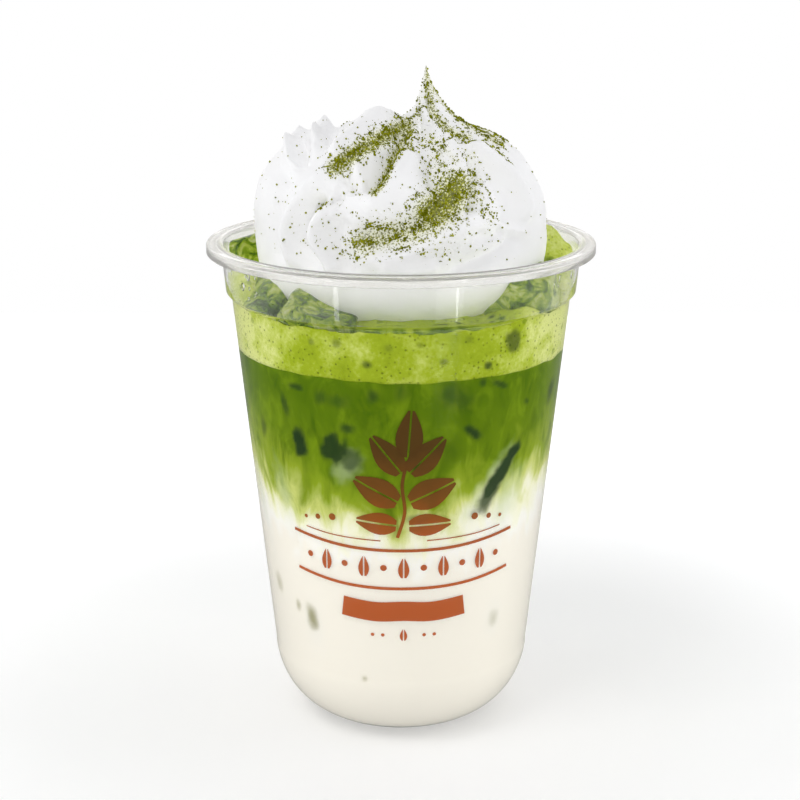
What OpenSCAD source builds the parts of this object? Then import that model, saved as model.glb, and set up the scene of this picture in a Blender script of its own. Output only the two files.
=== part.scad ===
// Iced matcha latte in a clear round-bottomed cup: creamy milk, deep green matcha and pale
// foam in layers, ice along the wall, and a dome of whipped cream drawn up into a peak.
// Millimetres. The origin is the middle of the cup's foot, +Z is up and -Y is the front.

/* [Cup] */
// Height of the cup from its foot to the top of the rim
cup_h = 122; // [112:0.5:150]
// Wall thickness of the moulded cup
wall = 0.7; // [0.5:0.1:1.2]
// Outer radius of the ring that the cup stands on
foot_r = 15.6; // [12:0.1:22]
// Width of the ring that the cup stands on
foot_w = 2.2; // [1:0.1:4]
// Depth of the hollow inside the foot ring
foot_hollow = 0.8; // [0.4:0.1:2]
// Outer radius where the round bottom turns into the straight body
bowl_r = 32.5; // [28:0.5:38]
// Height at which the round bottom turns into the straight body
bowl_h = 19.8; // [16:0.2:30]
// Outer radius at the top of the body, just under the step
body_r = 41.6; // [37:0.2:50]
// How far the step stands out from the body to the stacking band
step_out = 1.4; // [0.8:0.1:3]
// Height of the step
step_h = 1.8; // [1:0.1:4]
// Depth of the step's upper edge below the top of the rim
step_drop = 11.7; // [9:0.1:18]
// How much wider the stacking band is at its top than at the step
band_flare = 1; // [0:0.1:2]

/* [Rim] */
// How far the flat rim stands out from the stacking band
rim_w = 3.5; // [2.5:0.1:6]
// Thickness of the flat rim
rim_t = 1; // [0.8:0.1:2]
// Height of the lip that hangs from the rim's edge
lip_h = 2.5; // [2:0.1:5]
// Thickness of the lip
lip_t = 0.8; // [0.6:0.1:1.5]
// Radius of the rounded edges of the rim
rim_round = 0.7; // [0.3:0.1:0.8]

/* [Drink] */
// Mean height of the milk above the foot
milk_level = 63; // [40:1:75]
// How far the milk climbs towards the side where it stands highest
milk_tilt = 6; // [0:0.5:8]
// Height of the slower waves where milk and matcha meet
milk_wave = 2; // [0:0.5:3]
// Direction in which the milk stands highest, in degrees from +X
milk_side = 178; // [0:1:360]
// Depth of the foam's front edge below the top of the rim
foam_drop = 13.8; // [12:0.1:20]
// Thickness of the foam at its front edge
foam_t = 12; // [6:0.5:18]
// Height of the small ripples on the foam
foam_ripple = 0.5; // [0:0.1:1]
// Gap between two layers of the drink, and between the drink and the cup
gap = 0.15; // [0.1:0.05:0.3]

/* [Cream] */
// Space between the cup's stacking band and the widest part of the cream
moat = 6.8; // [5:0.1:12]
// Depth to which the cream sinks into the foam
cream_sink = 5.2; // [3:0.1:9]
// Height from the cream's lowest point to its widest part
cream_low_h = 22; // [16:0.5:28]
// Height from the cream's widest part to the top of its dome
cream_top_h = 24; // [18:0.5:32]
// Fullness of the cream below its widest part: 2 is an ellipse, more is boxier
cream_low_full = 3; // [2:0.1:4]
// Fullness of the dome above the cream's widest part
cream_top_full = 2.9; // [2.6:0.1:3.4]
// How much fuller the dome is on the left than in the middle
cream_lean = 0.5; // [0:0.1:0.6]
// Number of folds round the cream
fold_count = 7; // [4:1:10]
// Depth of the valleys between the folds
fold_depth = 3; // [0:0.1:4]
// Angle through which the folds swirl from the foam to the peak
fold_swirl = 110; // [0:5:180]
// Height of the peak above the dome
peak_h = 14.8; // [6:0.2:20]
// Distance of the peak from the cup's axis
peak_out = 6.2; // [0:0.2:12]
// Direction of the peak, in degrees from +X
peak_side = 15; // [0:1:360]
// Reach of the peak's slender tip
peak_slim = 2.4; // [1.5:0.1:4]
// Reach of the ridge that runs down from the peak to the right
peak_ridge = 6.5; // [4:0.1:10]
// Share of the peak's height that belongs to the ridge
ridge_share = 0.45; // [0.2:0.05:0.7]
// Clearance round the cream where foam and ice touch it
cream_gap = 0.3; // [0.2:0.05:0.5]

/* [Ice] */
// Edge of an ice cube
ice_edge = 17; // [12:0.5:21]
// Radius of the ball that melts the corners off a cube
ice_melt = 12; // [9:0.1:14]
// Clearance round the ice in the foam and the matcha
ice_gap = 0.2; // [0.1:0.05:0.4]

/* [Hidden] */

round_fn = 96;   // sides of every round piece
arc_steps = 10;  // straight stretches in each quarter of an outline
grid_fn = 48;    // spokes in the uneven surfaces of the drink
ice_fn = 48;     // sides of the ball that melts the corners off a cube
cream_fn = 72;   // points round one ring of the cream
low_rings = 11;  // rings of the cream below its widest part
top_rings = 27;  // rings of the cream from there to the peak
headroom = 20;   // how far the cutting shapes run past the rim
ring_crowd = 2.2;   // how closely the cream's rings crowd towards the peak
fold_crest = 0.55;  // roundness of the folds' crests, less is rounder
sunk_share = 0.75;  // share of the way down to its lowest point over which the cream has folds
ridge_back = 3;     // how much faster the ridge falls behind the peak than in front of it
ridge_thin = 2;     // how much faster it falls at its sides

// Heights and radii of the cup that other pieces line up with
step_top = cup_h - step_drop;
step_low = step_top - step_h;
band_r = body_r + step_out;
band_top_r = band_r + band_flare;
rim_r = band_top_r + rim_w;
floor_z = foot_hollow + wall;
inner_r = band_r - wall;

// Heights of the drink and the cream
foam_top = cup_h - foam_drop;
foam_low = foam_top - foam_t;
cream_r = inner_r - moat;
cream_low = foam_top - cream_sink;
cream_waist = cream_low + cream_low_h;
peak_spot = peak_out * [cos(peak_side), sin(peak_side)];

// Lumps of the foam: direction, distance in from the wall, rise and spread
FOAM_LUMPS = [
    [187, 1, 6.5, 6],
    [150, 3, 7, 7],
    [14, 5, 15, 6.5],
    [-8, 2, 6, 6],
    [-42, 6, 3.5, 6],
    [62, 4, 6, 7],
    [108, 3, 3.5, 6],
];

// Ice cubes: direction, distance in from the wall, height above the foam, and turns about X, Y and Z
ICE = [
    [166, 8.4, 4.5, 24, 18, 12],
    [202, 8.2, -4.2, 14, 30, 37],
    [233, 9, -4, -18, 12, 25],
    [-29, 9.5, 0.5, 8, -12, 20],
    [4, 9.5, -4.5, 30, -20, 5],
    [97, 8.2, -3.6, 13, 25, 46],
];

// Small peaks left by the nozzle on the left shoulder: direction, distance out, height and reach
NUBS = [
    [171, 25, 3.2, 2.2],
    [164, 19.5, 4.2, 2.4],
];

function clamp(t) = min(1, max(0, t));
function smooth(t) = let (c = clamp(t)) c * c * (3 - 2 * c);
function total(v) = v * [for (x = v) 1];

// ---- cup ----

bowl_rx = bowl_r - foot_r;
body_slope = (body_r - bowl_r) / (step_low - bowl_h);
bowl_end = atan(bowl_rx / bowl_h / body_slope);

// Quarter ellipse from the foot to the body, drawn in by the given amount
function bowl_arc(inset, from) =
    [for (i = [0:2 * arc_steps])
        let (a = from + (bowl_end - from) * i / (2 * arc_steps))
        [foot_r + (bowl_rx - inset) * sin(a), bowl_h - (bowl_h - inset) * cos(a)]];

// S-shaped step from the body out to the stacking band
function step_arc(inset) =
    [for (i = [0:arc_steps])
        let (t = i / arc_steps)
        [body_r - inset + step_out * smooth(t), step_low + step_h * t]];

// Quarter circle round an edge, from one angle to another
function edge_arc(centre, r, from, to) =
    [for (i = [0:arc_steps / 2])
        let (a = from + (to - from) * 2 * i / arc_steps)
        centre + r * [cos(a), sin(a)]];

function floor_angle(inset) = acos((bowl_h - floor_z - inset + wall) / (bowl_h - inset));

// Inner face of the cup from its floor to the rim, drawn in by the given amount
function inside_outline(inset) =
    concat([[0, floor_z + inset - wall]],
           bowl_arc(inset, floor_angle(inset)),
           step_arc(inset),
           [[band_top_r - inset, cup_h - rim_round]]);

function reversed(v) = [for (i = [len(v) - 1:-1:0]) v[i]];

module cup() {
    underside = [[0, foot_hollow],
                 [foot_r - foot_w - foot_hollow / 2, foot_hollow],
                 [foot_r - foot_w, 0]];
    rim = concat([[band_top_r, cup_h - rim_t],
                  [rim_r - lip_t, cup_h - rim_t],
                  [rim_r - lip_t, cup_h - lip_h],
                  [rim_r, cup_h - lip_h]],
                 edge_arc([rim_r - rim_round, cup_h - rim_round], rim_round, 0, 90),
                 edge_arc([band_top_r - wall + rim_round, cup_h - rim_round], rim_round, 90, 175));
    color([0.86, 0.88, 0.88, 0.35])
        rotate_extrude($fn = round_fn)
            polygon(concat(underside, bowl_arc(0, 0), step_arc(0), rim,
                           reversed(inside_outline(wall))));
}

// Space inside the cup, clear of its wall by the given amount and open past the rim
module cup_space(clear) {
    inset = wall + clear;
    rotate_extrude($fn = round_fn)
        polygon(concat(inside_outline(inset),
                       [[band_top_r - inset, cup_h + headroom], [0, cup_h + headroom]]));
}

// ---- drink ----

// Solid under an uneven round surface: rings of points over a flat bottom
module under_surface(heights, radii, bottom) {
    rings = len(radii);
    top = [for (i = [0:rings - 1]) for (j = [0:grid_fn - 1])
        let (a = 360 * j / grid_fn) [radii[i] * cos(a), radii[i] * sin(a), heights[i][j]]];
    base = [for (j = [0:grid_fn - 1])
        let (a = 360 * j / grid_fn) [radii[rings - 1] * cos(a), radii[rings - 1] * sin(a), bottom]];
    hub = len(top) + len(base);
    function at(i, j) = i * grid_fn + (j % grid_fn);
    faces = concat(
        [for (j = [0:grid_fn - 1]) [hub, at(0, j + 1), at(0, j)]],
        [for (i = [0:rings - 1]) for (j = [0:grid_fn - 1]) [at(i, j), at(i, j + 1), at(i + 1, j + 1)]],
        [for (i = [0:rings - 1]) for (j = [0:grid_fn - 1]) [at(i, j), at(i + 1, j + 1), at(i + 1, j)]],
        [[for (j = [0:grid_fn - 1]) at(rings, j)]]);
    polyhedron(concat(top, base, [[0, 0, total(heights[0]) / grid_fn]]), faces);
}

// Height at which milk gives way to matcha
function milk_z(r, a) =
    milk_level + r / inner_r * (milk_tilt * cos(a - milk_side) + milk_wave * sin(2 * a + 30)
                                + milk_wave / 2 * cos(3 * a - 40));

module milk_under(lift) {
    radii = [for (i = [1:4]) inner_r * i / 3.5];
    under_surface([for (r = radii) [for (j = [0:grid_fn - 1]) milk_z(r, 360 * j / grid_fn) + lift]],
                  radii, -headroom);
}

module milk() {
    color([0.96, 0.94, 0.86])
        intersection() {
            cup_space(gap);
            milk_under(0);
        }
}

module matcha() {
    color([0.36, 0.47, 0.16])
        difference() {
            intersection() {
                cup_space(gap);
                cylinder(r = rim_r, h = foam_low - gap);
            }
            milk_under(gap);
            all_ice(ice_gap);
        }
}

function lump_z(r, a, lump) =
    let (lump_r = inner_r - lump[1],
         far2 = r * r + lump_r * lump_r - 2 * r * lump_r * cos(a - lump[0]))
    lump[2] * exp(-far2 / (2 * lump[3] * lump[3]));

function foam_z(r, a) =
    foam_top + total([for (lump = FOAM_LUMPS) lump_z(r, a, lump)])
    + foam_ripple * sin(7 * a + 40) * sin(360 * r / inner_r * 3);

module foam() {
    hub_r = cream_r * 0.6;
    steps = 9;
    radii = [for (i = [0:steps]) hub_r + (band_top_r + 1 - hub_r) * i / steps];
    color([0.78, 0.85, 0.42])
        difference() {
            intersection() {
                cup_space(gap);
                under_surface([for (r = radii) [for (j = [0:grid_fn - 1]) foam_z(r, 360 * j / grid_fn)]],
                              radii, foam_low);
            }
            cream_seat();
            all_ice(ice_gap);
        }
}

// ---- ice ----

// The cube at one place in the list, melted round and grown by a clearance
module ice_block(i, grow) {
    spot = ICE[i];
    r = inner_r - spot[1];
    translate([r * cos(spot[0]), r * sin(spot[0]), foam_top + spot[2]])
        rotate([spot[3], spot[4], spot[5] + spot[0]])
            intersection() {
                cube(ice_edge + 2 * grow, center = true);
                sphere(r = ice_melt + grow, $fn = ice_fn);
            }
}

module all_ice(grow) {
    for (i = [0:len(ICE) - 1]) ice_block(i, grow);
}

// A cube as it lies between the cup's wall and the cream, clear of the cubes before it
module ice(i) {
    color([0.62, 0.72, 0.42, 0.8])
        difference() {
            intersection() {
                ice_block(i, 0);
                cup_space(gap);
            }
            cream_seat();
            if (i > 0) ice_block(i - 1, ice_gap);
        }
}

// ---- cream ----

// Radius of the cream's widest outline at a height given as a share of the way to the waist
function fullness(t, n) = pow(max(0, 1 - pow(t, n)), 1 / n);

// Space that the cream takes up in the foam, with its clearance, straight above the waist
module cream_seat() {
    low = [for (i = [0:2 * arc_steps])
        let (t = cos(90 * i / (2 * arc_steps)))
        [(cream_r + cream_gap) * fullness(t, cream_low_full),
         cream_waist - (cream_low_h + cream_gap) * t]];
    rotate_extrude($fn = round_fn)
        polygon(concat(low, [[cream_r + cream_gap, cup_h + headroom + 1], [0, cup_h + headroom + 1]]));
}

// Sharp valleys between rounded folds: 0 on a crest, 1 in a valley
function valley(a) = 1 - pow(abs(sin(fold_count * a / 2)), fold_crest);

// Height added by the peak and by the ridge that runs down from it towards +X
function peak_z(x, y) =
    let (d = [x, y] - peak_spot,
         ridge = norm([d[0] > 0 ? d[0] : ridge_back * d[0], ridge_thin * d[1]]))
    peak_h * ((1 - ridge_share) * exp(-norm(d) / peak_slim) + ridge_share * exp(-ridge / peak_ridge));

function nub_z(x, y) =
    total([for (nub = NUBS)
        nub[2] * exp(-norm([x, y] - nub[1] * [cos(nub[0]), sin(nub[0])]) / nub[3])]);

// Fold depth as a share of the radius, for a point t of the way from the waist to a pole
function fold(a, t, side) =
    fold_depth / cream_r * valley(a - fold_swirl * (1 + side * t) / 2)
    * (side < 0 ? smooth((sunk_share - t) * 3) : 1 - pow(t, 6) / 2);

// One ring of the cream: t runs from 0 at the waist to 1 at the pole, side is -1 below and 1 above
function cream_ring(t, side) =
    let (drift = side < 0 ? [0, 0] : pow(t, 4) * peak_spot,
         rise = side * t * (side < 0 ? cream_low_h : cream_top_h))
    [for (j = [0:cream_fn - 1])
        let (a = 360 * j / cream_fn,
             n = side < 0 ? cream_low_full : cream_top_full - cream_lean * cos(a),
             k = 1 - fold(a, t, side),
             spot = k * cream_r * fullness(t, n) * [cos(a), sin(a)] + drift,
             lift = side < 0 ? 0 : (peak_z(spot[0], spot[1]) + nub_z(spot[0], spot[1])) * smooth(2.5 * t))
        [spot[0], spot[1], cream_waist + (side < 0 ? rise : k * rise) + lift]];

module whipped_cream() {
    low = [for (i = [1:low_rings]) cream_ring(cos(90 * i / (low_rings + 1)), -1)];
    top = [for (i = [0:top_rings - 1]) cream_ring(1 - pow(1 - i / top_rings, ring_crowd), 1)];
    rings = concat(low, top);
    poles = [[0, 0, cream_low], [peak_spot[0], peak_spot[1], cream_waist + cream_top_h + peak_h]];
    points = concat([for (ring = rings) each ring], poles);
    last = len(rings) - 1;
    south = len(points) - 2;
    function at(i, j) = i * cream_fn + (j % cream_fn);
    faces = concat(
        [for (j = [0:cream_fn - 1]) [south, at(0, j), at(0, j + 1)]],
        [for (i = [0:last - 1]) for (j = [0:cream_fn - 1]) [at(i, j), at(i + 1, j), at(i + 1, j + 1)]],
        [for (i = [0:last - 1]) for (j = [0:cream_fn - 1]) [at(i, j), at(i + 1, j + 1), at(i, j + 1)]],
        [for (j = [0:cream_fn - 1]) [south + 1, at(last, j + 1), at(last, j)]]);
    color([0.97, 0.97, 0.96])
        polyhedron(points, faces);
}

cup();
milk();
matcha();
foam();
whipped_cream();
ice(0);  // ice_left_back
ice(1);  // ice_left
ice(2);  // ice_front_left
ice(3);  // ice_front_right
ice(4);  // ice_right
ice(5);  // ice_back
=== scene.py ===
import math
import random

import bmesh
import bpy
import numpy as np
from mathutils import Matrix, Vector, noise


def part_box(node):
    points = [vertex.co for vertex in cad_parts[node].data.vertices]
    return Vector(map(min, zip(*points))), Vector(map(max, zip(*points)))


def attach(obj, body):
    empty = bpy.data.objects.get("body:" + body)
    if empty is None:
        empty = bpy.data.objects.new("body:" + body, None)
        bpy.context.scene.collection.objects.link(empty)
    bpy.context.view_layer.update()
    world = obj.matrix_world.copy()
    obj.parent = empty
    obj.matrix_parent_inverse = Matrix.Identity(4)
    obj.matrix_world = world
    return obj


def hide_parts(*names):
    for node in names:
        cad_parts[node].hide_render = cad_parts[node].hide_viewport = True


# An iced matcha latte in a clear round-bottomed cup. Shapes are worked out in millimetres, with the
# origin in the middle of the cup's foot, and are brought to metres when a piece is finished.
# Directions are degrees from +X, so 270 is the front, 0 the right and 180 the left.

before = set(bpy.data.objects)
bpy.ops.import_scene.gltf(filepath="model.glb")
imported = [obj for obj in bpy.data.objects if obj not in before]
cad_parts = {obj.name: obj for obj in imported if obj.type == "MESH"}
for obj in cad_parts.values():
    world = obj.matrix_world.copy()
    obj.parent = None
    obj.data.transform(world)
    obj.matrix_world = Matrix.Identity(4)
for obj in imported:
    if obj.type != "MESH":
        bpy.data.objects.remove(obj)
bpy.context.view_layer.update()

MM = 0.001


def node_box(name):
    """Lowest and highest corner of a CAD node, in millimetres."""
    low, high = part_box(name)
    return low / MM, high / MM


# ---- sizes of the cup ----

cup_high = node_box("cup")[1]
CUP_H = cup_high.z
RIM_R = cup_high.x
WALL = 0.7
RIM_W = 3.5
RIM_T = 1.0
LIP_H = 2.5
LIP_T = 0.8
RIM_ROUND = 0.7
BAND_FLARE = 1.0
STEP_OUT = 1.4
STEP_H = 1.8
STEP_DROP = 11.7
FOOT_R = 15.6
FOOT_W = 2.2
FOOT_HOLLOW = 0.8
BOWL_R = 32.5
BOWL_H = 19.8

BAND_TOP_R = RIM_R - RIM_W
BAND_R = BAND_TOP_R - BAND_FLARE
BODY_R = BAND_R - STEP_OUT
STEP_TOP = CUP_H - STEP_DROP
STEP_LOW = STEP_TOP - STEP_H
FLOOR_Z = FOOT_HOLLOW + WALL
INNER_R = BAND_R - WALL

# ---- levels of the drink and the cream ----

milk_box = node_box("milk")
foam_box = node_box("foam")
cream_box = node_box("whipped_cream")
MILK_TOP = (milk_box[1].z + node_box("matcha")[0].z) / 2
FOAM_LOW = foam_box[0].z
FOAM_T = 12
FOAM_TOP = FOAM_LOW + FOAM_T
SEAT = WALL / 2          # how far into the wall the drink and foam reach
MOAT = 6.8
CREAM_R = INNER_R - MOAT
CREAM_LOW = cream_box[0].z
CREAM_LOW_H = 22
CREAM_WAIST = CREAM_LOW + CREAM_LOW_H
CREAM_DOME_H = 24
CREAM_LOW_FULL = 3.0
CREAM_TOP_FULL = 2.9
CREAM_LEAN = 0.5
CREAM_TIP = cream_box[1].z
PEAK = np.array([6.0, 1.6])
SMALL_CRESTS = [(171, 25, 3.2, 2.2), (164, 19.5, 4.2, 2.4)]   # direction, distance out, height, reach

# ---- where the viewer stands ----

VIEW_DISTANCE = 435
VIEW_PITCH = math.radians(15.75)
VIEW_AIM = 80.9
VIEW_SIDE = -0.25
LENS = 77.85


# ======== helpers for shapes ========

def smooth(t):
    c = np.clip(t, 0, 1)
    return c * c * (3 - 2 * c)


def on_circle(r, direction):
    a = np.radians(direction)
    return r * np.cos(a), r * np.sin(a)


def lathe(outline, steps):
    """Turns an outline of (radius, height) about the Z axis."""
    bm = bmesh.new()
    verts = [bm.verts.new((r, 0, z)) for r, z in outline]
    edges = [bm.edges.new(pair) for pair in zip(verts, verts[1:])]
    bmesh.ops.spin(bm, geom=verts + edges, cent=(0, 0, 0), axis=(0, 0, 1),
                   angle=math.tau, steps=steps, use_merge=True)
    bmesh.ops.remove_doubles(bm, verts=bm.verts, dist=1e-4)
    bmesh.ops.recalc_face_normals(bm, faces=bm.faces)
    return bm


def to_mesh(bm, name):
    mesh = bpy.data.meshes.new(name)
    bm.to_mesh(mesh)
    bm.free()
    return mesh


def points_of(mesh):
    co = np.empty(len(mesh.vertices) * 3, np.float32)
    mesh.vertices.foreach_get("co", co)
    return co.reshape(-1, 3).astype(float)


def normals_of(mesh):
    found = np.empty(len(mesh.vertices) * 3, np.float32)
    mesh.vertex_normals.foreach_get("vector", found)
    return found.reshape(-1, 3).astype(float)


def move_points(mesh, points):
    mesh.vertices.foreach_set("co", points.astype(np.float32).ravel())
    mesh.update()


def mark(mesh, name, values):
    """Keeps one number for each point of a mesh, for its material to read."""
    layer = mesh.attributes.new(name, "FLOAT", "POINT")
    layer.data.foreach_set("value", np.asarray(values, np.float32))


def wobble(points, size, seed=0.0):
    """Smooth noise from -1 to 1 at each point, with lumps of the given size in millimetres."""
    shift = Vector((seed * 17.3, seed * 5.1, -seed * 9.7))
    return np.array([noise.noise(Vector(p) / size + shift) for p in points])


def piece(name, mesh, material, replaces=(), sharp=None):
    """Finishes a mesh: metres, smooth shading, its material, and its place on the frame."""
    mesh.transform(Matrix.Scale(MM, 4))
    mesh.polygons.foreach_set("use_smooth", [True] * len(mesh.polygons))
    if sharp:
        mesh.set_sharp_from_angle(angle=math.radians(sharp))
    mesh.materials.append(material)
    made = bpy.data.objects.new(name, mesh)
    bpy.context.scene.collection.objects.link(made)
    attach(made, "root")
    if replaces:
        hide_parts(*replaces)


# ======== helpers for materials ========

class Value:
    """A number in a material's node tree, so that shader maths reads as plain expressions."""

    def __init__(self, finish, socket):
        self.finish = finish
        self.socket = socket

    def maths(self, operation, *others):
        values = dict(enumerate((self, *others)))
        return self.finish.value("ShaderNodeMath", {"operation": operation}, values)

    def __add__(self, other):
        return self.maths("ADD", other)

    def __mul__(self, other):
        return self.maths("MULTIPLY", other)

    def __sub__(self, other):
        return self.maths("SUBTRACT", other)

    def __truediv__(self, other):
        return self.maths("DIVIDE", other)

    __radd__ = __add__
    __rmul__ = __mul__

    def __rsub__(self, other):
        return self.maths("MULTIPLY", -1.0).maths("ADD", other)

    def between(self, low, high):
        """0 below low, 1 above high, smooth from one to the other."""
        return self.finish.value(
            "ShaderNodeMapRange", {"interpolation_type": "SMOOTHSTEP"},
            {"Value": self, "From Min": low, "From Max": high})


class Finish:
    """A material in the making. Fixed numbers are set on the shader's own sockets."""

    def __init__(self, name, **fixed):
        self.material = bpy.data.materials.new(name)
        self.material.use_nodes = True
        self.tree = self.material.node_tree
        self.tree.nodes.clear()
        self.shader = self.node("ShaderNodeBsdfPrincipled", {}, fixed)
        self.output = self.node("ShaderNodeOutputMaterial")
        self.show(self.shader.outputs[0])

    def node(self, kind, settings=None, sockets=None):
        made = self.tree.nodes.new(kind)
        for name, setting in (settings or {}).items():
            if name == "stops":
                self.set_stops(made.color_ramp, setting)
            else:
                setattr(made, name, setting)
        for name, wanted in (sockets or {}).items():
            self.feed(made.inputs[name], wanted)
        return made

    @staticmethod
    def set_stops(ramp, stops):
        while len(ramp.elements) < len(stops):
            ramp.elements.new(1.0)
        for element, (place, colour) in zip(ramp.elements, stops):
            element.position = place
            element.color = (*colour, 1.0)

    def feed(self, socket, wanted):
        if isinstance(wanted, Value):
            wanted = wanted.socket
        if isinstance(wanted, bpy.types.NodeSocket):
            self.tree.links.new(wanted, socket)
        elif hasattr(wanted, "__len__") and len(wanted) == 3 and socket.type == "RGBA":
            socket.default_value = (*wanted, 1.0)
        else:
            socket.default_value = wanted

    def value(self, kind, settings=None, sockets=None, output=0):
        return Value(self, self.node(kind, settings, sockets).outputs[output])

    def place(self, scale=(1, 1, 1)):
        """Object coordinates in millimetres, stretched by the given scale."""
        coordinates = self.node("ShaderNodeTexCoord").outputs["Object"]
        return self.node("ShaderNodeMapping", {}, {
            "Vector": coordinates, "Scale": [s / MM for s in scale]}).outputs[0]

    def height(self):
        return self.value("ShaderNodeSeparateXYZ", {}, {0: self.place()}, "Z")

    def noise(self, size, detail=3.0, scale=(1, 1, 1), roughness=0.5, distortion=0.0):
        """Cloudy noise from 0 to 1 with lumps of the given size in millimetres."""
        return self.value("ShaderNodeTexNoise", {}, {
            "Vector": self.place(scale), "Scale": 1 / size, "Detail": detail,
            "Roughness": roughness, "Distortion": distortion}, "Fac")

    def cells(self, size, output="Distance"):
        return self.node("ShaderNodeTexVoronoi", {}, {
            "Vector": self.place(), "Scale": 1 / size}).outputs[output]

    def attribute(self, name):
        return self.value("ShaderNodeAttribute", {"attribute_name": name}, {}, "Fac")

    def ramp(self, value, stops):
        return self.node("ShaderNodeValToRGB", {"stops": stops}, {0: value}).outputs[0]

    def mix(self, share, first, second, blend="MIX"):
        made = self.node("ShaderNodeMix", {"data_type": "RGBA", "blend_type": blend})
        self.feed(made.inputs[0], share)
        self.feed(made.inputs[6], first)
        self.feed(made.inputs[7], second)
        return made.outputs[2]

    def bump(self, height, strength, depth):
        """Relief of the given depth in millimetres."""
        self.feed(self.shader.inputs["Normal"], self.node("ShaderNodeBump", {}, {
            "Height": height, "Strength": strength, "Distance": depth * MM}).outputs[0])

    def colour(self, socket):
        self.feed(self.shader.inputs["Base Color"], socket)

    def glow(self, colour, strength):
        """Light of the given colour that the surface gives off though it is no lamp. On the drink, the foam
        and the cream this is a painted glow, a little of a piece's own colour, standing in for light carried
        through something cloudy.
        """
        self.feed(self.shader.inputs["Emission Color"], colour)
        self.shader.inputs["Emission Strength"].default_value = strength

    def show(self, surface):
        self.surface = surface
        self.feed(self.output.inputs["Surface"], surface)

    def clear_to_light(self, tint):
        """Lets light pass straight through, so that clear pieces don't darken what is behind them."""
        path = self.node("ShaderNodeLightPath").outputs["Is Shadow Ray"]
        through = self.node("ShaderNodeBsdfTransparent", {}, {"Color": tint})
        both = self.node("ShaderNodeMixShader", {}, {0: path, 1: self.surface, 2: through.outputs[0]})
        self.show(both.outputs[0])


# ======== the cup ========

BODY_SLOPE = (BODY_R - BOWL_R) / (STEP_LOW - BOWL_H)
BOWL_END = math.atan((BOWL_R - FOOT_R) / BOWL_H / BODY_SLOPE)


def outer_outline():
    """Outside of the cup from its foot to the top of the stacking band."""
    bowl = [(FOOT_R + (BOWL_R - FOOT_R) * math.sin(a), BOWL_H * (1 - math.cos(a)))
            for a in np.linspace(0, BOWL_END, 40)]
    body = [(BODY_R + BODY_SLOPE * (z - STEP_LOW), z)
            for z in np.linspace(bowl[-1][1] + 1, STEP_LOW - 0.6, 60)]
    step = [(BODY_R + STEP_OUT * float(smooth(t)), STEP_LOW + STEP_H * t)
            for t in np.linspace(0, 1, 11)]
    band = [(BAND_R + BAND_FLARE * t, STEP_TOP + (CUP_H - RIM_T - STEP_TOP) * t)
            for t in np.linspace(0.05, 1, 12)]
    return bowl + body + step + band


OUTLINE = np.array(outer_outline())


def wall_r(z, inset=0.0):
    """Radius of the cup's wall at a height, drawn in by the given amount."""
    return np.interp(z, OUTLINE[:, 1], OUTLINE[:, 0]) - inset


def cup_outline():
    foot = [(0, FOOT_HOLLOW), (FOOT_R - FOOT_W - 0.8, FOOT_HOLLOW), (FOOT_R - FOOT_W - 0.2, 0.25),
            (FOOT_R - FOOT_W + 0.2, 0.0)]
    lip_r = RIM_R - LIP_T
    under = [(BAND_TOP_R + 0.5, CUP_H - RIM_T + 0.05), (lip_r - 0.3, CUP_H - RIM_T),
             (lip_r, CUP_H - RIM_T - 0.3), (lip_r + 0.05, CUP_H - LIP_H + 0.15),
             (lip_r + 0.2, CUP_H - LIP_H), (RIM_R - 0.2, CUP_H - LIP_H), (RIM_R, CUP_H - LIP_H + 0.2)]
    edge = [(RIM_R - RIM_ROUND + RIM_ROUND * math.cos(a), CUP_H - RIM_ROUND + RIM_ROUND * math.sin(a))
            for a in np.linspace(0.1, math.pi / 2, 7)]
    top = [(RIM_R - 1.6, CUP_H), (RIM_R - 1.9, CUP_H - 0.16), (RIM_R - 2.5, CUP_H - 0.2),
           (RIM_R - 2.8, CUP_H - 0.05), (BAND_TOP_R + 0.1, CUP_H - 0.02)]
    mouth = [(BAND_TOP_R - WALL + RIM_ROUND + RIM_ROUND * math.cos(a),
              CUP_H - RIM_ROUND + RIM_ROUND * math.sin(a))
             for a in np.linspace(math.pi / 2 + 0.15, math.pi - 0.05, 6)]
    floor = [(0, FLOOR_Z), (FOOT_R - 4, FLOOR_Z), (FOOT_R, FLOOR_Z + 0.2)]
    inside = [(r - WALL, z + (WALL if z < 4 else 0)) for r, z in OUTLINE
              if r > FOOT_R + 2 and z < CUP_H - 2]
    return foot + list(OUTLINE[1:]) + under + edge + top + mouth + inside[::-1] + floor[::-1]


def clear_plastic():
    made = Finish("clear_plastic", **{
        "Transmission Weight": 1.0, "IOR": 1.5, "Base Color": (0.985, 0.985, 0.98)})
    filled = 1 - made.height().between(STEP_LOW - 2, STEP_LOW + 1)
    rim = made.height().between(CUP_H - LIP_H - 0.8, CUP_H - LIP_H)
    made.feed(made.shader.inputs["Roughness"], filled * 0.2 + rim * 0.07 + 0.015)
    made.bump(made.noise(9, 1.0, (1, 1, 0.4)), 0.06, 0.3)
    cloudy = made.node("ShaderNodeBsdfPrincipled", {}, {
        "Base Color": (0.97, 0.955, 0.92), "Roughness": 0.3, "IOR": 1.5})
    thick = made.node("ShaderNodeMixShader", {}, {
        0: rim * 0.17, 1: made.surface, 2: cloudy.outputs[0]})
    made.show(thick.outputs[0])
    made.clear_to_light((1.0, 1.0, 0.995))
    return made.material


def make_cup():
    mesh = to_mesh(lathe(cup_outline(), 256), "cup_wall")
    piece("cup_wall", mesh, clear_plastic(), ["cup"], sharp=50)


# ======== milk and matcha ========

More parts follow.
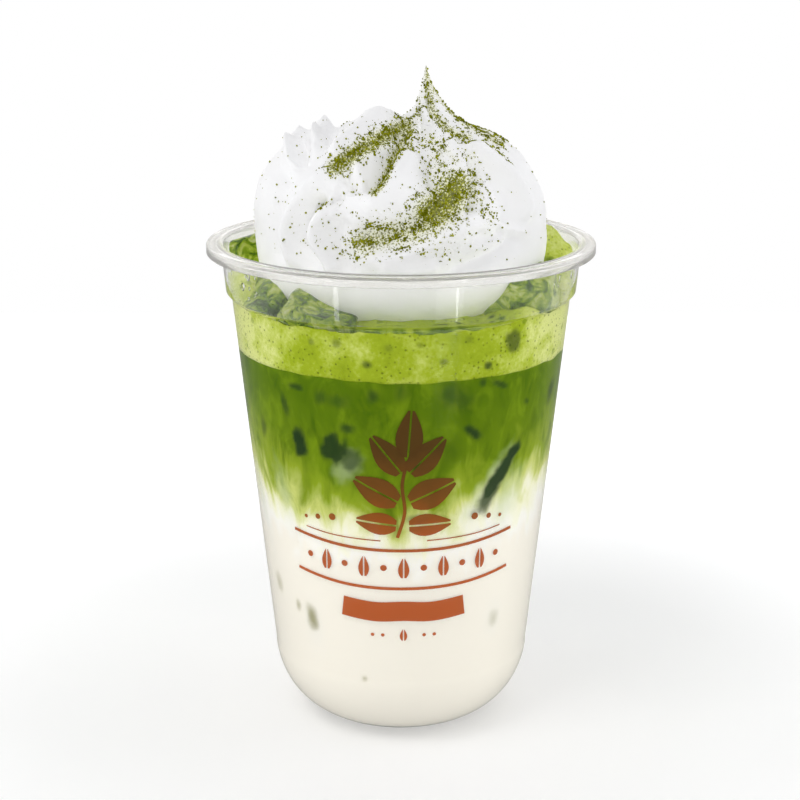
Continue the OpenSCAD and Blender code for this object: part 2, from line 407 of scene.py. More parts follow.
# Ice that shows at the wall: direction, height, half length, half width, tilt of its length from
# upright, softness of its edge and how dark it is
WALL_ICE = [
    (232, 79, 3.7, 1.9, 8, 0.3, 0.95),
    (246, 79, 3.2, 3.4, 60, 0.3, 0.9),
    (251, 77, 3.6, 2.6, 50, 0.4, 0.7),
    (251, 84.5, 1.0, 1.7, 0, 0.6, 0.7),
    (211, 80, 2.2, 1.1, 5, 0.7, 0.55),
    (226, 88, 2.6, 0.9, 12, 0.5, 0.6),
    (232, 93, 0.7, 1.9, 0, 0.5, 0.75),
    (242, 91.5, 1.5, 1.4, 0, 0.8, 0.5),
    (248.5, 91, 1.3, 2.6, 0, 0.9, 0.4),
    (260.5, 92.8, 1.5, 1.2, 0, 0.7, 0.6),
    (270, 94, 2.0, 1.2, 0, 0.9, 0.35),
    (289, 91.8, 2.2, 3.6, -25, 0.8, 0.45),
    (298, 95, 0.9, 0.8, 0, 0.6, 0.6),
    (305, 94, 0.7, 2.4, -25, 0.5, 0.65),
    (336.6, 87.5, 2.6, 1.7, -10, 0.7, 0.65),
    (319, 88, 0.6, 0.9, -30, 0.7, 0.6),
    (295.5, 83, 1.1, 2.6, -35, 0.5, 0.9),
    (308.5, 71, 9.4, 1.7, -38, 0.3, 0.95),
    (304, 66.5, 4.4, 2.2, -30, 0.4, 0.85),
    (274, 76, 1.2, 1.4, 0, 0.7, 0.75),
    (274.5, 62.5, 0.8, 1.6, 10, 0.8, 0.5),
    (208, 38.6, 2.0, 1.3, 10, 0.9, 0.35),
    (222, 35, 1.1, 0.7, 0, 0.9, 0.5),
    (230, 33, 2.6, 1.5, 5, 0.7, 0.7),
    (312, 32.3, 1.6, 1.2, 0, 1.0, 0.3),
    (254, 19, 0.6, 0.6, 0, 0.9, 0.5),
]

# Pale patches beside the ice, given in the same way: partly milky streaks, partly painted highlights round
# the ice
WALL_PALE = [
    (250.5, 75, 2.6, 3.8, 50, 0.6, 0.5),
    (303.5, 68, 9.5, 2.6, -38, 0.5, 0.7),
    (313, 63, 6.5, 3.2, -25, 0.9, 0.8),
    (221, 62, 8, 2.2, 12, 0.9, 0.5),
    (231, 31, 5, 2.4, 0, 0.9, 0.45),
    (312, 33, 4, 2.2, 0, 0.9, 0.35),
    (201, 58, 8, 1.6, 15, 0.9, 0.6),
]


def wall_marks(points, marks, seed):
    """How strongly each point of the wall is covered by the marks, from 0 to 1."""
    r = np.hypot(points[:, 0], points[:, 1])
    facing = np.degrees(np.arctan2(points[:, 1], points[:, 0]))
    bend = wobble(points, 2.2, seed) * 0.35 + wobble(points, 0.9, seed + 1) * 0.12
    cover = np.zeros(len(points))
    for direction, height, length, width, tilt, soft, dark in marks:
        turn = (facing - direction + 180) % 360 - 180
        u = np.radians(turn) * r
        v = points[:, 2] - height
        c, s = math.cos(math.radians(tilt)), math.sin(math.radians(tilt))
        across, along = u * c + v * s, v * c - u * s
        far = (np.abs(across / width) ** 2.4 + np.abs(along / length) ** 2.4) ** (1 / 2.4) + bend
        cover = np.maximum(cover, dark * smooth((1 + soft - far) / (2 * soft)) * (np.abs(turn) < 60))
    return cover


def hidden_marks():
    """More ice round the back of the cup, scattered like the ice at its front."""
    draw = random.Random(11)
    marks = []
    for direction in range(352, 548, 13):
        for low, high in ((84, 94), (70, 84), (28, 44)):
            if draw.random() < (0.35 if low < 50 else 0.6):
                dark = 0.5 if low < 50 else 0.8
                marks.append((direction % 360 + draw.uniform(-5, 5), draw.uniform(low, high),
                              draw.uniform(1.0, 3.6), draw.uniform(0.8, 2.4), draw.uniform(-50, 50),
                              draw.uniform(0.35, 0.9), draw.uniform(0.5, 1.0) * dark))
    return marks


def drink_finish():
    """Creamy milk below, deep green matcha above, and the clouds where they run into each other."""
    made = Finish("layered_drink", **{"Roughness": 0.5, "Specular IOR Level": 0.0})
    clouds = made.noise(14, 2.0, (1, 1, 0.8), distortion=1.0)
    streaks = made.noise(6, 3.0, (1, 1, 0.4), distortion=1.2)
    wisps = made.noise(2.0, 3.0, (1, 1, 0.4), distortion=1.0)
    side = made.value("ShaderNodeSeparateXYZ", {}, {0: made.place()}, "X")
    lean = side * -0.03 - side * side * 0.0068
    level = made.height() + lean + (clouds - 0.5) * 18 + (streaks - 0.5) * 16 + (wisps - 0.5) * 4
    share = (level - 46.5) / 44
    mixed = made.ramp(share, [
        (0.0, (0.925, 0.898, 0.825)), (0.10, (0.950, 0.945, 0.905)), (0.22, (0.900, 0.900, 0.700)),
        (0.33, (0.640, 0.690, 0.230)), (0.45, (0.330, 0.430, 0.030)), (0.62, (0.165, 0.265, 0.006)),
        (1.0, (0.110, 0.205, 0.002))])
    mottle = made.noise(6, 4.0, (1, 1, 0.6), distortion=1.5)
    green = share.between(0.28, 0.5)
    mixed = made.mix((mottle - 0.42).between(0.0, 0.3) * green * 0.45, mixed, (0.28, 0.41, 0.012))
    mixed = made.mix((streaks - 0.5).between(0.0, 0.3) * green * 0.5, mixed, (0.045, 0.100, 0.002))
    # the pale patches are partly milky streaks and partly painted highlights round the ice
    pale = made.mix(made.height().between(50, 75), (0.86, 0.86, 0.82), (0.60, 0.69, 0.42))
    mixed = made.mix(made.attribute("pale") * (0.6 + streaks * 0.5), mixed, pale)
    deep = made.mix(made.height().between(40, 66), (0.22, 0.21, 0.035), (0.018, 0.045, 0.016))
    mixed = made.mix(made.attribute("ice"), mixed, deep)
    specks = made.value("ShaderNodeMapRange", {}, {
        "Value": made.cells(2.6), "From Min": 0.05, "From Max": 0.02, "To Min": 0.0, "To Max": 0.5})
    shown = made.mix(specks, mixed, (0.30, 0.30, 0.05))
    made.colour(shown)
    # painted glow: the milk and matcha give off a little light of their own colour, which brightens them and
    # lifts their shade
    made.glow(shown, 0.14)
    return made.material


def make_drink():
    finish = drink_finish()
    marks = hidden_marks()
    low_round = FLOOR_Z - SEAT
    side = [(float(wall_r(z, SEAT)), float(z)) for z in np.linspace(3.5, FOAM_LOW + 2, 165)]
    bottom = [(0, low_round)] + [(FOOT_R * t, low_round + 0.25 * t * t) for t in (0.4, 0.8, 1.05)]
    milk = bottom + [p for p in side if p[1] < MILK_TOP]
    matcha = [p for p in side if p[1] >= MILK_TOP]
    seam = milk[-1]
    milk_outline = milk + [(0, seam[1])]
    matcha_outline = [(0, seam[1]), seam, *matcha, (0, matcha[-1][1])]
    for name, outline, node in (("milk_layer", milk_outline, "milk"),
                                ("matcha_layer", matcha_outline, "matcha")):
        mesh = to_mesh(lathe(outline, 400), name)
        points = points_of(mesh)
        mark(mesh, "ice", wall_marks(points, WALL_ICE + marks, 3.0))
        mark(mesh, "pale", wall_marks(points, WALL_PALE, 5.0))
        piece(name, mesh, finish, [node], sharp=60)


# ======== foam ========

# Lumps of the foam: direction, distance in from the wall, rise and spread
FOAM_LUMPS = [
    (187, 1, 6.5, 6), (150, 3, 7, 7), (14, 5, 15, 6.5), (-8, 2, 6, 6), (-42, 4, 2.2, 4),
    (62, 4, 6, 7), (108, 3, 3.5, 6),
]

# Smaller lumps that give the foam its broken edge, in the same form
FOAM_CLOTS = [
    (198, 3.2, 3.2, 2.6), (206, 6.5, 2.2, 2.2), (192, 6, 2.5, 2.4), (214, 2.2, 1.2, 3),
    (222, 4.5, 1.2, 2), (340, 1.6, 2.2, 3), (349, 3, 2.6, 2.6), (330, 6.5, 2.4, 3), (318, 7.5, 1.4, 3),
    (176, 2.5, 2.4, 2.6), (164, 5.5, 2.0, 2.4), (70, 6.5, 2, 2.6), (95, 3, 1.6, 2.6), (125, 5, 2.4, 3),
]

# Pools of matcha that lie open between the cream and the foam, wet and coloured darker as painted shade in
# the hollows round the cream: direction, distance in, depth, spread
POOLS = [
    (208, 8.5, 2.4, 3.2), (219, 7.4, 2.6, 3.2), (230, 6.8, 2.4, 3.0), (241, 6.6, 2.4, 3.0),
    (252, 6.2, 2.4, 2.8), (263, 6.0, 2.4, 2.8), (274, 6.0, 2.4, 2.8), (285, 6.4, 2.2, 2.6),
    (296, 6.8, 1.8, 2.4), (308, 7, 1.3, 2.4), (320, 7, 1.2, 2.6), (-6, 8, 2, 3), (180, 9, 2, 3),
    (80, 8, 1.6, 4), (118, 8.5, 1.6, 4), (30, 9, 1.6, 3),
]

# Dark spots in the foam at the wall, given like the ice in the drink
FOAM_MARKS = [
    (309, 104, 2.6, 2.2, 20, 0.35, 0.75), (299.5, 99, 0.9, 1.0, 0, 0.4, 0.9),
    (259, 100.4, 0.8, 0.9, 0, 0.6, 0.75), (240, 104.8, 0.8, 0.7, 0, 0.5, 0.5),
    (284, 101, 0.7, 0.9, 0, 0.5, 0.6), (249, 105, 1.0, 1.0, 0, 0.5, 0.5),
    (266, 104.5, 0.8, 0.9, 0, 0.6, 0.4), (276, 105.2, 0.5, 0.8, 0, 0.6, 0.4),
    (292, 106, 0.8, 0.7, 0, 0.6, 0.35), (20, 102, 1.6, 1.4, 0, 0.5, 0.6),
    (95, 100, 1.1, 1.2, 0, 0.5, 0.7), (150, 103, 1.8, 1.5, 0, 0.5, 0.6),
]


def heap(x, y, lumps):
    """Sum of rounded lumps: direction, distance in from the wall, rise and spread."""
    rise = np.zeros(len(x))
    for direction, inward, height, spread in lumps:
        cx, cy = on_circle(INNER_R - inward, direction)
        rise += height * np.exp(-((x - cx) ** 2 + (y - cy) ** 2) / (2 * spread ** 2))
    return rise


def foam_finish():
    made = Finish("matcha_foam", **{"IOR": 1.33})
    patches = made.noise(7, 3.0, roughness=0.6)
    fine = made.noise(0.8, 3.0)
    side = made.value("ShaderNodeSeparateXYZ", {}, {0: made.place()}, "X")
    # painted light: the foam is coloured lighter towards the cup's left and right sides, less so high up its
    # wall
    painted_side_light = (side * side).between(350, 1500) * (0.46 - made.height().between(107, 111) * 0.3)
    body = made.ramp(patches + (fine - 0.5) * 0.4 + painted_side_light, [
        (0.25, (0.330, 0.430, 0.006)), (0.5, (0.420, 0.530, 0.018)), (0.66, (0.560, 0.650, 0.100)),
        (0.9, (0.780, 0.830, 0.340))])
    dots = made.node("ShaderNodeTexVoronoi", {}, {"Vector": made.place(), "Scale": 1 / 1.05})
    luck = made.value("ShaderNodeSeparateColor", {}, {0: dots.outputs["Color"]}, 0)
    near = Value(made, dots.outputs["Distance"])
    holes = luck.between(0.2, 0.9) * (1 - near.between(0.16, 0.34))
    bubbles = made.node("ShaderNodeTexVoronoi", {}, {"Vector": made.place(), "Scale": 1 / 4.2})
    large_luck = made.value("ShaderNodeSeparateColor", {}, {0: bubbles.outputs["Color"]}, 1)
    large = Value(made, bubbles.outputs["Distance"])
    large_holes = large_luck.between(0.70, 0.8) * (1 - large.between(0.15, 0.22))
    # painted shade: the pinholes and larger bubbles are dented in the bump, and their dark green colour
    # stands in for the shade inside them
    body = made.mix(holes * 0.62, body, (0.10, 0.15, 0.003))
    body = made.mix(large_holes * 0.6, body, (0.20, 0.30, 0.008))
    wet = made.attribute("wet")
    # the pools are wet liquid matcha, and their dark colour is partly painted shade in the hollows round the
    # cream
    shaded_pool = made.ramp(made.noise(3, 3.0), [
        (0.3, (0.045, 0.095, 0.008)), (0.5, (0.12, 0.21, 0.010)), (0.62, (0.30, 0.42, 0.03)),
        (0.75, (0.50, 0.60, 0.10))])
    body = made.mix(wet, body, shaded_pool)
    body = made.mix(made.attribute("dark"), body, (0.05, 0.085, 0.012))
    made.colour(body)
    # painted glow: the foam gives off a little light of its own colour, which lifts its shade
    made.glow(body, 0.08)
    made.feed(made.shader.inputs["Roughness"], 0.62 - wet * 0.5)
    made.bump(fine * 0.6 - holes * 0.8 - large_holes * 0.8, 0.6, 0.35)
    return made.material


def make_foam():
    tops = [(r, FOAM_TOP) for r in (0, 8, 14, 19, 23, 25.5, *np.arange(27, 42.1, 0.5))]
    sides = 26
    wall = [(INNER_R, FOAM_TOP - (FOAM_TOP - FOAM_LOW) * i / sides) for i in range(sides + 1)]
    outline = tops + wall + [(30, FOAM_LOW), (0, FOAM_LOW)]
    mesh = to_mesh(lathe(outline, 480), "foam_layer")
    points = points_of(mesh)
    x, y, z = points.T
    r = np.hypot(x, y)
    facing = np.arctan2(y, x)
    over_wall = np.stack([INNER_R * np.cos(facing), INNER_R * np.sin(facing), z], 1)

    def surface(px, py, flat):
        spots = np.stack([px, py, np.full(len(px), 110.0)], 1)
        lumpy = wobble(spots, 5.0, 1.0) * 0.9 + wobble(spots, 2.0, 2.0) * 0.4 + wobble(spots, 0.9, 3.0) * 0.14
        wet = heap(px, py, POOLS)
        return FOAM_TOP + heap(px, py, FOAM_LUMPS) + heap(px, py, FOAM_CLOTS) + lumpy * flat - wet, wet

    top, wet = surface(x, y, 1.0)
    edge_top, _ = surface(over_wall[:, 0], over_wall[:, 1], 0.6)
    edge_top = edge_top - 0.5
    low = FOAM_LOW + wobble(over_wall / np.array([1, 1, 1e6]), 7.0, 4.0) * 0.55
    is_wall = r > INNER_R - 0.05
    is_top = (~is_wall) & (z > FOAM_TOP - 0.01)
    near_wall = np.clip((r - 40.5) / (INNER_R - 40.5), 0, 1) ** 2
    new_z = np.where(is_top, top * (1 - near_wall) + edge_top * near_wall, z)
    share = (FOAM_TOP - z) / (FOAM_TOP - FOAM_LOW)
    new_z = np.where(is_wall, edge_top + (low - edge_top) * share, new_z)
    new_r = np.where(is_wall, wall_r(new_z, SEAT - 0.06), r)
    stretch = 1 + (np.where(is_top, wall_r(new_z, SEAT) / INNER_R, 1) - 1) * near_wall
    new_r = np.where(is_top, r * stretch, new_r)
    points = np.stack([new_r * np.cos(facing), new_r * np.sin(facing), new_z], 1)
    move_points(mesh, points)
    # how wet the foam's top is, and how strongly painted shade darkens it, from the depth of the pools
    wet_shade_mask = smooth((np.where(is_top, wet, 0) + wobble(points, 2.4, 6.0) * 0.8 - 0.7) / 0.7)
    mark(mesh, "wet", np.where(is_top, wet_shade_mask * (1 - near_wall * 0.7), 0))
    mark(mesh, "dark", np.where(is_wall, wall_marks(points, FOAM_MARKS, 8.0), 0))
    piece("foam_layer", mesh, foam_finish(), ["foam"])


# ======== ice ========

ICE_EDGE = 17
ICE_MELT = 12
ICE_BEVEL = 2.2

# Cubes that reach the surface: node, direction, distance in from the wall, height above the foam, turns
ICE = [
    ("ice_left_back", 166, 8.4, 4.5, (24, 18, 12)),
    ("ice_left", 202, 8.2, -4.2, (14, 30, 37)),
    ("ice_front_left", 233, 9, -4, (-18, 12, 25)),
    ("ice_front_right", -29, 9.5, 0.5, (8, -12, 20)),
    ("ice_right", 4, 9.5, -4.5, (30, -20, 5)),
    ("ice_back", 97, 8.2, -3.6, (13, 25, 46)),
]


def wet_ice():
    made = Finish("wet_ice", **{
        "Transmission Weight": 0.45, "IOR": 1.31, "Coat Weight": 0.6, "Coat Roughness": 0.03})
    made.feed(made.shader.inputs["Roughness"], made.noise(4, 2.0) * 0.25)
    stain = made.noise(3.4, 4.0, roughness=0.6, distortion=1.0)
    made.colour(made.ramp(stain, [
        (0.32, (0.030, 0.080, 0.004)), (0.42, (0.110, 0.230, 0.008)), (0.50, (0.34, 0.50, 0.020)),
        (0.57, (0.62, 0.74, 0.11)), (0.68, (0.84, 0.90, 0.45))]))
    made.bump(made.noise(2.4, 4.0), 1.0, 1.2)
    return made.material


def make_ice():
    finish = wet_ice()
    for index, (node, direction, inward, rise, turns) in enumerate(ICE):
        bm = bmesh.new()
        bmesh.ops.create_cube(bm, size=ICE_EDGE)
        bmesh.ops.bevel(bm, geom=bm.edges[:], offset=ICE_BEVEL, segments=4, profile=0.5,
                        affect="EDGES", material=-1)
        bmesh.ops.subdivide_edges(bm, edges=bm.edges[:], cuts=3, use_grid_fill=True)
        mesh = to_mesh(bm, node + "_cube")
        points = points_of(mesh)
        far = np.linalg.norm(points, axis=1)
        points *= (np.minimum(far, ICE_MELT - 0.4) / far)[:, None]
        hollow = wobble(points, 5.0, 20.0 + index) * 1.6 + wobble(points, 2.2, 30.0 + index) * 0.7
        points *= (1 + hollow / far.clip(4))[:, None]
        x, y = on_circle(INNER_R - inward, direction)
        turn = (Matrix.Rotation(math.radians(turns[2] + direction), 3, "Z")
                @ Matrix.Rotation(math.radians(turns[1]), 3, "Y")
                @ Matrix.Rotation(math.radians(turns[0]), 3, "X"))
        points = points @ np.array(turn).T + np.array([x, y, FOAM_TOP + rise])
        r = np.hypot(points[:, 0], points[:, 1])
        room = wall_r(points[:, 2], WALL + 0.15)
        points[:, :2] *= (np.minimum(r, room) / r)[:, None]
        move_points(mesh, points)
        piece(node + "_cube", mesh, finish, [node])


def make_droplets():
    """Drops of water that cling to the inside of the cup above the drink."""
    draw = random.Random(23)
    seed = bmesh.new()
    bmesh.ops.create_icosphere(seed, subdivisions=3, radius=1)
    drop = to_mesh(seed, "drop")
    drops = bmesh.new()
    for _ in range(46):
        direction = draw.choice([draw.uniform(140, 220), draw.uniform(-40, 60), draw.uniform(60, 140)])
        height = draw.uniform(112, CUP_H - 2.5)
        size = draw.uniform(0.25, 0.85)
        r = float(wall_r(height, WALL))
        x, y = on_circle(r, direction)
        moved = drop.copy()
        moved.transform(Matrix.Translation((x, y, height))
                        @ Matrix.Rotation(math.radians(direction), 4, "Z")
                        @ Matrix.Diagonal((size * 0.35, size, size * draw.uniform(0.9, 1.9), 1)))
        drops.from_mesh(moved)
        bpy.data.meshes.remove(moved)
    bpy.data.meshes.remove(drop)
    water = Finish("water_drops", **{"Transmission Weight": 1.0, "IOR": 1.33})
    water.feed(water.shader.inputs["Roughness"], water.noise(3) * 0.05)
    water.colour(water.ramp(water.noise(5), [(0.4, (0.97, 1.0, 0.95)), (0.6, (1.0, 1.0, 1.0))]))
    water.clear_to_light((0.97, 0.98, 0.96))
    piece("water_drops", to_mesh(drops, "water_drops"), water.material)


# ======== cream ========

# Strokes shape the dome the way a spoon and a nozzle do. They are drawn on a plane that faces the
# viewer, across and up in millimetres. Each has a rise and a reach on its left, and the same on its
# right, as it is drawn.
STROKES = [
    # right scoop: its crest, the hollow inside it and the lobe outside it
    (1.9, 1.6, 1.5, 1.0, [(6, 71), (9, 67), (14, 64.5), (20, 63), (26, 58.8), (30.2, 53.7),
                          (32, 48.5), (31.4, 43)]),
    (-2.2, 4.0, -2.2, 5.0, [(18, 60), (23.5, 57), (27.2, 52.5), (28.6, 47.5), (27.5, 43)]),
    # fold with a sharp upright edge right of the dusted hollow
    (-2.2, 3.6, 2.0, 4.6, [(11, 65), (15, 61.5), (16.3, 57), (16.4, 52), (15.8, 46.5)]),
    # dusted hollow and the round ridge below it
    (-2.0, 4.2, -2.0, 4.2, [(6, 63.5), (9, 57), (11.5, 51), (7.3, 46), (0, 43), (-9, 41), (-14.5, 42)]),
    (1.5, 2.6, 1.5, 3.6, [(-12, 37), (-4.3, 35.7), (3.4, 37.6), (10, 41), (15.7, 44.5), (20, 48.5)]),
    # smooth plateau left of it
    (1.4, 4.2, 1.4, 4.2, [(3.9, 63), (0.8, 57), (-4.3, 51.6), (-9, 47)]),
    # finger behind the plateau with the deep dusted groove at its right
    (1.9, 2.0, 1.9, 1.6, [(-12.5, 56.5), (-9.4, 59), (-4.3, 62.6), (0.3, 66)]),
    (-1.2, 1.4, -3.0, 2.2, [(1.8, 68), (-1.7, 61.9), (-4.3, 56.6), (-6.9, 53), (-9.6, 52)]),
    (-1.4, 1.1, -1.4, 1.1, [(-14, 58.5), (-13.2, 55), (-11.5, 52.6)]),
    # dusted ridge behind the finger
    (-1.5, 1.5, -1.5, 1.5, [(-18, 57.5), (-11.5, 61.2), (-4.3, 64.8), (0.8, 68)]),
    (1.5, 2.2, 1.5, 2.2, [(-18.5, 60.5), (-14.6, 63.5), (-9.4, 66.8), (-4.3, 68.8), (1.3, 70.8)]),
    # S-shaped ridges and grooves down the left
    (1.7, 2.2, 1.7, 1.6, [(-14.6, 58.2), (-19.2, 56), (-23.3, 52.4), (-26.9, 47), (-28.6, 41.9),
                          (-27.6, 36.5), (-24.8, 32)]),
    (-2.4, 2.0, -2.4, 1.5, [(-18.5, 52), (-22.6, 49.5), (-24.8, 45), (-24.9, 40.3), (-23, 35.5),
                            (-19.7, 31)]),
    (1.7, 2.2, 1.7, 2.0, [(-17.5, 48.5), (-21.2, 44.4), (-21.2, 39.8), (-18.4, 35), (-15.1, 31)]),
    (-1.2, 2.4, -1.2, 2.4, [(-14.8, 46.5), (-16.6, 42), (-15.4, 37), (-12, 32)]),
    (-1.5, 3.0, -1.5, 3.0, [(-17.5, 51.5), (-15, 49.8)]),
    (-1.5, 1.8, -1.5, 2.2, [(-27.6, 59), (-31, 53), (-32.3, 46.5), (-31.2, 40), (-29.2, 34)]),
    # small crests on the left shoulder
    (1.4, 1.5, 1.4, 1.3, [(-26, 68.5), (-27.2, 63.4), (-28, 58.5)]),
    (-1.6, 1.5, -1.6, 1.5, [(-23.8, 66), (-24.6, 62.5), (-25.6, 59)]),
    (1.3, 1.3, 1.3, 1.2, [(-19, 70.8), (-20.6, 66.8), (-21.4, 63.5)]),
    (-1.0, 1.4, -1.0, 1.4, [(-17, 68), (-17.6, 65), (-19, 62.5)]),
    # creases that run down from the peak
    (-0.9, 0.8, -0.9, 0.8, [(6.4, 78), (7.4, 73), (10, 69), (14, 66.8), (19, 65.8), (24, 64.6)]),
    (-0.9, 0.9, -0.9, 0.9, [(4.4, 74), (4.4, 69), (6.4, 65.5), (9.5, 63.5)]),
    # shallow creases low on the right
    (-1.2, 2.0, -1.2, 2.0, [(12, 32), (20.3, 35), (26.5, 38), (30.8, 42)]),
    (-0.9, 1.6, -0.9, 1.6, [(18, 41.5), (23, 40.5), (27, 43)]),
    (0.9, 2.2, 0.9, 2.2, [(-6, 33), (2, 32.4), (10, 33.6)]),
]

# Where the powder fell, drawn on the same plane: how dense, its reach and its path
DUST = [
    (0.85, 2.5, [(-16.5, 58.6), (-12, 61.8), (-7.4, 64.6), (-2.3, 67.4), (1.2, 68.8)]),
    (0.75, 1.1, [(-7, 52), (-4.5, 54.6), (-2.4, 59.8), (0.3, 65), (2.4, 67.5)]),
    (1.0, 4.8, [(13.8, 53.0), (11.2, 49.6), (7.5, 46.8)]),
    (0.60, 4.2, [(8, 45.6), (2.9, 42.6), (-4.3, 41.2), (-9.6, 39.6)]),
    (0.32, 3.6, [(9, 63), (9.6, 58.5), (9.3, 53.7)]),
    (0.26, 1.9, [(17.7, 61.4), (19.0, 55), (20.6, 49.5), (22.4, 45.0)]),
    (0.45, 0.9, [(17, 58), (18.4, 54), (19.2, 50)]),
    (0.20, 2.4, [(2, 38.4), (7, 37.4), (11, 40.4)]),
    (0.6, 1.3, [(6.4, 84), (7.0, 77), (8.6, 71.6), (13.0, 67.4), (17, 66)]),
    (0.55, 1.4, [(7.5, 79.5), (11.5, 74.4), (15.5, 70.4), (20, 67.6), (25, 64.6)]),
    (0.35, 1.8, [(7.4, 66), (10.5, 63.6), (14, 60)]),
    (0.3, 1.2, [(5, 77), (4.2, 73), (3.4, 69)]),
    (0.04, 10.0, [(-20, 45), (0, 36), (16, 37)]),
]
DUST_EVERYWHERE = 0.004


def curve_through(path, steps=6):
    """A smooth curve through the path's points."""
    p = np.array([path[0], *path, path[-1]], float)
    t = np.linspace(0, 1, steps, endpoint=False)[:, None]
    parts = []
    for a, b, c, d in zip(p, p[1:], p[2:], p[3:]):
        parts.append(0.5 * (2 * b + (c - a) * t + (2 * a - 5 * b + 4 * c - d) * t ** 2
                            + (3 * b - a - 3 * c + d) * t ** 3))
    return np.vstack(parts + [p[-1:]])


def from_path(path, across, up):
    """For each point its distance from a path, positive on the left, and how far along it is."""
    curve = curve_through(path)
    best = np.full(len(across), 1e9)
    signed = np.zeros(len(across))
    share = np.zeros(len(across))
    spans = np.diff(curve, axis=0)
    lengths = np.hypot(*spans.T)
    travelled = np.concatenate([[0], np.cumsum(lengths)])
    for (ax, ay), (dx, dy), length, before in zip(curve, spans, lengths, travelled):
        if length < 1e-6:
            continue
        t = np.clip(((across - ax) * dx + (up - ay) * dy) / length ** 2, 0, 1)
        ex, ey = across - ax - t * dx, up - ay - t * dy
        far = np.hypot(ex, ey)
        closer = far < best
        side = np.sign(dx * ey - dy * ex)
        signed = np.where(closer, far * side, signed)
        share = np.where(closer, (before + t * length) / travelled[-1], share)
        best = np.where(closer, far, best)
    return signed, share


def seen(points, normals, behind):
    """Where points appear across and up from the front, or mirrored from behind, and how they face it."""
    turn = -1.0 if behind else 1.0
    x, y, z = points[:, 0], points[:, 1] * turn, points[:, 2] - VIEW_AIM
    c, s = math.cos(VIEW_PITCH), math.sin(VIEW_PITCH)
    depth = VIEW_DISTANCE + y * c - z * s
    facing = -normals[:, 1] * turn * c + normals[:, 2] * s
    return x * VIEW_DISTANCE / depth, (z * c + y * s) * VIEW_DISTANCE / depth, facing


def stroke_rise(stroke, across, up):
    left_rise, left_reach, right_rise, right_reach, path = stroke
    signed, share = from_path(path, across, up)
    far = np.abs(signed)
    left = left_rise * np.exp(-(far / left_reach) ** 1.7)
    right = right_rise * np.exp(-(far / right_reach) ** 1.7)
    on_left = 0.5 + 0.5 * np.tanh(signed / 0.35)
    taper = smooth(share / 0.14) * smooth((1 - share) / 0.14)
    return 1.8 * (left * on_left + right * (1 - on_left)) * (0.25 + 0.75 * taper)


def fullness(t, n):
    return np.clip(1 - t ** n, 0, None) ** (1 / n)


def dome(unit):
    """Carries the points of a unit ball to the plain dome, with its peak and small crests."""
    facing = np.arctan2(unit[:, 1], unit[:, 0])
    fall = np.arccos(np.clip(unit[:, 2], -1, 1)) / math.pi
    waist = 0.74
    above = fall < waist
    t_high = 1 - np.clip(fall / waist, 0, 1) ** 2.5
    t_low = np.clip((fall - waist) / (1 - waist), 0, 1)
    n = np.where(above, CREAM_TOP_FULL - CREAM_LEAN * np.cos(facing), CREAM_LOW_FULL)
    t = np.where(above, t_high, np.sin(t_low * math.pi / 2))
    r = CREAM_R * fullness(t, n)
    drift = np.where(above, t ** 4, 0)[:, None] * PEAK
    spot = np.stack([r * np.cos(facing), r * np.sin(facing)], 1) + drift
    lean = spot - PEAK
    ridge = np.hypot(np.where(lean[:, 0] > 0, lean[:, 0], 3 * lean[:, 0]), 2 * lean[:, 1])
    peak_h = CREAM_TIP - CREAM_WAIST - CREAM_DOME_H
    far = np.hypot(*lean.T)
    peak = peak_h * (0.55 * np.exp(-far / 3.2) + 0.45 * np.exp(-ridge / 6.5))
    for direction, out, height, reach in SMALL_CRESTS:
        crest = np.array(on_circle(out, direction))
        peak += height * np.exp(-np.hypot(*(spot - crest).T) / reach)
    rise = np.where(above, t * CREAM_DOME_H + peak * smooth(2.5 * t), -t * (CREAM_WAIST - CREAM_LOW))
    return np.stack([spot[:, 0], spot[:, 1], CREAM_WAIST + rise], 1)


def dust_at(points, normals):
    """How densely powder lies at each point."""
    density = np.full(len(points), DUST_EVERYWHERE)
    for behind, weight in ((False, 1.0), (True, 0.55)):
        across, up, facing = seen(points, normals, behind)
        looks = smooth((facing + 0.02) / 0.2) * weight
        shown = looks > 0
        for dense, reach, path in DUST:
            signed, _ = from_path(path, across[shown], up[shown])
            fallen = looks[shown] * dense * np.exp(-(np.abs(signed) / reach) ** 2)
            density[shown] = np.maximum(density[shown], fallen)
    return density


def cream_finish():
    made = Finish("whipped_cream", **{
        "Roughness": 0.5, "IOR": 1.4, "Specular IOR Level": 0.3})
    blush = made.noise(9, 3.0)
    white = made.ramp(blush, [(0.3, (0.900, 0.898, 0.902)), (0.7, (0.925, 0.925, 0.930))])
    dusty = made.attribute("dust")
    grain = made.noise(0.5, 2.0, roughness=0.7)
    specks = (grain - 0.72 + dusty * 0.36).between(0.0, 0.03)
    pale = made.mix(dusty.between(0.1, 0.9) * 0.5, white, (0.72, 0.72, 0.22))
    settled = made.ramp(made.noise(0.6, 2.0, roughness=0.7), [
        (0.38, (0.090, 0.098, 0.001)), (0.5, (0.190, 0.205, 0.002)), (0.62, (0.420, 0.430, 0.020))])
    shown = made.mix(specks * 0.92, pale, settled)
    made.colour(shown)
    # painted glow: the cream gives off a little light of its own colour, which lifts the shade in its folds
    made.glow(shown, 0.12)
    ripples = made.noise(2.2, 4.0, (1, 1, 1.6), distortion=0.8)
    pores = 1 - made.value("ShaderNodeMapRange", {}, {"Value": made.cells(1.4), "From Max": 0.25})
    made.bump(ripples * 0.8 - pores * 0.25 + grain * dusty * 0.8, 0.5, 0.25)
    return made.material


